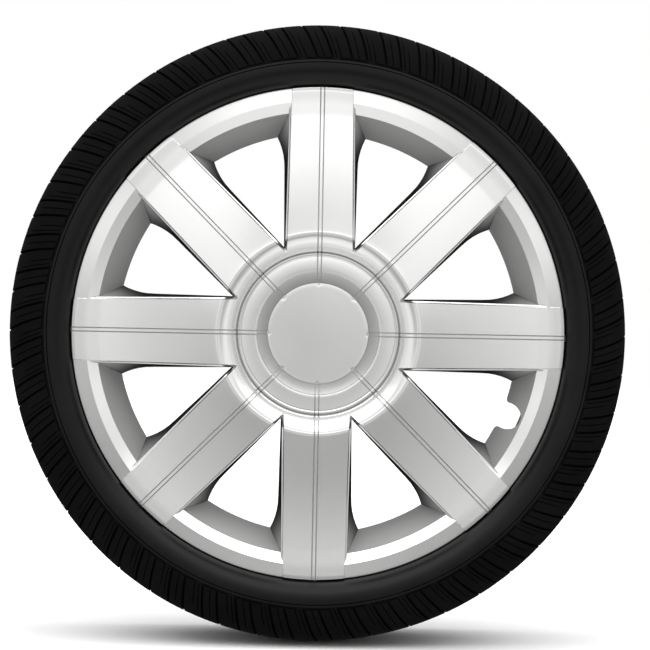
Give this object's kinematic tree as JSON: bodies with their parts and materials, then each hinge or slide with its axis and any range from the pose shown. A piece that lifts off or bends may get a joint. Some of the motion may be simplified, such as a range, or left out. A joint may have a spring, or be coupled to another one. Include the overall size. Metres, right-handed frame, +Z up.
{
  "type": "wheel cover on tyre",
  "caption": "Round silver wheel cover with broad radial spokes, held by sprung clips and a wire ring, seated in a low-profile tyre.",
  "frame": {"origin": "the wheel's centre: on its axis, at the tyre's middle plane", "axes": "+Y along the wheel's axis towards its back, so the cover's face looks to -Y; +Z up"},
  "size_m": [0.5459, 0.19, 0.546],
  "materials": {
    "tread_rubber": "matt black tread rubber with moulded grooves and sipes",
    "sidewall_rubber": "smooth black sidewall rubber with a soft sheen",
    "chafer_rubber": "hard matt black rim rubber",
    "liner_rubber": "dull black butyl lining",
    "filler_rubber": "hard dark brown-black filler rubber",
    "ply_cord": "rubbered textile cord",
    "cap_cord": "rubbered nylon cord",
    "belt_cord": "brassed steel cord in rubber",
    "bead_wire": "bronzed steel wire bundle",
    "silver_paint": "silver metallic lacquer on moulded plastic",
    "cap_paint": "silver metallic lacquer, slightly finer",
    "spring_wire": "zinc-plated spring steel wire",
    "sleeve_steel": "crimped steel tube",
    "clip_nylon": "black glass-filled nylon"
  },
  "bodies": {
    "tyre": {"tread": "tread_rubber", "cap_ply": "cap_cord", "belt_outer": "belt_cord", "belt_inner": "belt_cord", "carcass_ply": "ply_cord", "inner_liner": "liner_rubber", "sidewall_front": "sidewall_rubber", "sidewall_rear": "sidewall_rubber", "apex_front": "filler_rubber", "apex_rear": "filler_rubber", "bead_core_front": "bead_wire", "bead_core_rear": "bead_wire", "chafer_front": "chafer_rubber", "chafer_rear": "chafer_rubber"},
    "cover": {"face_shell": "silver_paint", "wire_ring": "spring_wire", "ring_sleeve": "sleeve_steel"},
    "cap": {"centre_cap": "cap_paint"},
    "clip_1": {"clip_1": "clip_nylon"},
    "clip_2": {"clip_2": "clip_nylon"},
    "clip_3": {"clip_3": "clip_nylon"},
    "clip_4": {"clip_4": "clip_nylon"},
    "clip_5": {"clip_5": "clip_nylon"},
    "clip_6": {"clip_6": "clip_nylon"},
    "clip_7": {"clip_7": "clip_nylon"},
    "clip_8": {"clip_8": "clip_nylon"}
  },
  "joints": [
    {"name": "cover_pull", "type": "slide", "parent": "tyre", "child": "cover", "axis": [0, -1, 0], "range_m": [0, 0.12]},
    {"name": "cap_pull", "type": "slide", "parent": "cover", "child": "cap", "axis": [0, -1, 0], "range_m": [0, 0.03]},
    {"name": "clip_1_flex", "type": "hinge", "parent": "cover", "child": "clip_1", "pos_m": [0.1984, -0.0733, 0], "axis": [0, 0, 1], "range_deg": [0, 4], "stiffness_Nm_per_rad": 5},
    {"name": "clip_2_flex", "type": "hinge", "parent": "cover", "child": "clip_2", "pos_m": [0.14029, -0.0733, 0.14029], "axis": [-0.7071, 0, 0.7071], "range_deg": [0, 4], "stiffness_Nm_per_rad": 5},
    {"name": "clip_3_flex", "type": "hinge", "parent": "cover", "child": "clip_3", "pos_m": [0, -0.0733, 0.1984], "axis": [-1, 0, 0], "range_deg": [0, 4], "stiffness_Nm_per_rad": 5},
    {"name": "clip_4_flex", "type": "hinge", "parent": "cover", "child": "clip_4", "pos_m": [-0.14029, -0.0733, 0.14029], "axis": [-0.7071, 0, -0.7071], "range_deg": [0, 4], "stiffness_Nm_per_rad": 5},
    {"name": "clip_5_flex", "type": "hinge", "parent": "cover", "child": "clip_5", "pos_m": [-0.1984, -0.0733, 0], "axis": [0, 0, -1], "range_deg": [0, 4], "stiffness_Nm_per_rad": 5},
    {"name": "clip_6_flex", "type": "hinge", "parent": "cover", "child": "clip_6", "pos_m": [-0.14029, -0.0733, -0.14029], "axis": [0.7071, 0, -0.7071], "range_deg": [0, 4], "stiffness_Nm_per_rad": 5},
    {"name": "clip_7_flex", "type": "hinge", "parent": "cover", "child": "clip_7", "pos_m": [0, -0.0733, -0.1984], "axis": [1, 0, 0], "range_deg": [0, 4], "stiffness_Nm_per_rad": 5},
    {"name": "clip_8_flex", "type": "hinge", "parent": "cover", "child": "clip_8", "pos_m": [0.14029, -0.0733, -0.14029], "axis": [0.7071, 0, 0.7071], "range_deg": [0, 4], "stiffness_Nm_per_rad": 5}
  ],
  "couplings": [
    {"joint": "clip_2_flex", "follows": "clip_1_flex", "ratio": 1},
    {"joint": "clip_3_flex", "follows": "clip_1_flex", "ratio": 1},
    {"joint": "clip_4_flex", "follows": "clip_1_flex", "ratio": 1},
    {"joint": "clip_5_flex", "follows": "clip_1_flex", "ratio": 1},
    {"joint": "clip_6_flex", "follows": "clip_1_flex", "ratio": 1},
    {"joint": "clip_7_flex", "follows": "clip_1_flex", "ratio": 1},
    {"joint": "clip_8_flex", "follows": "clip_1_flex", "ratio": 1}
  ]
}
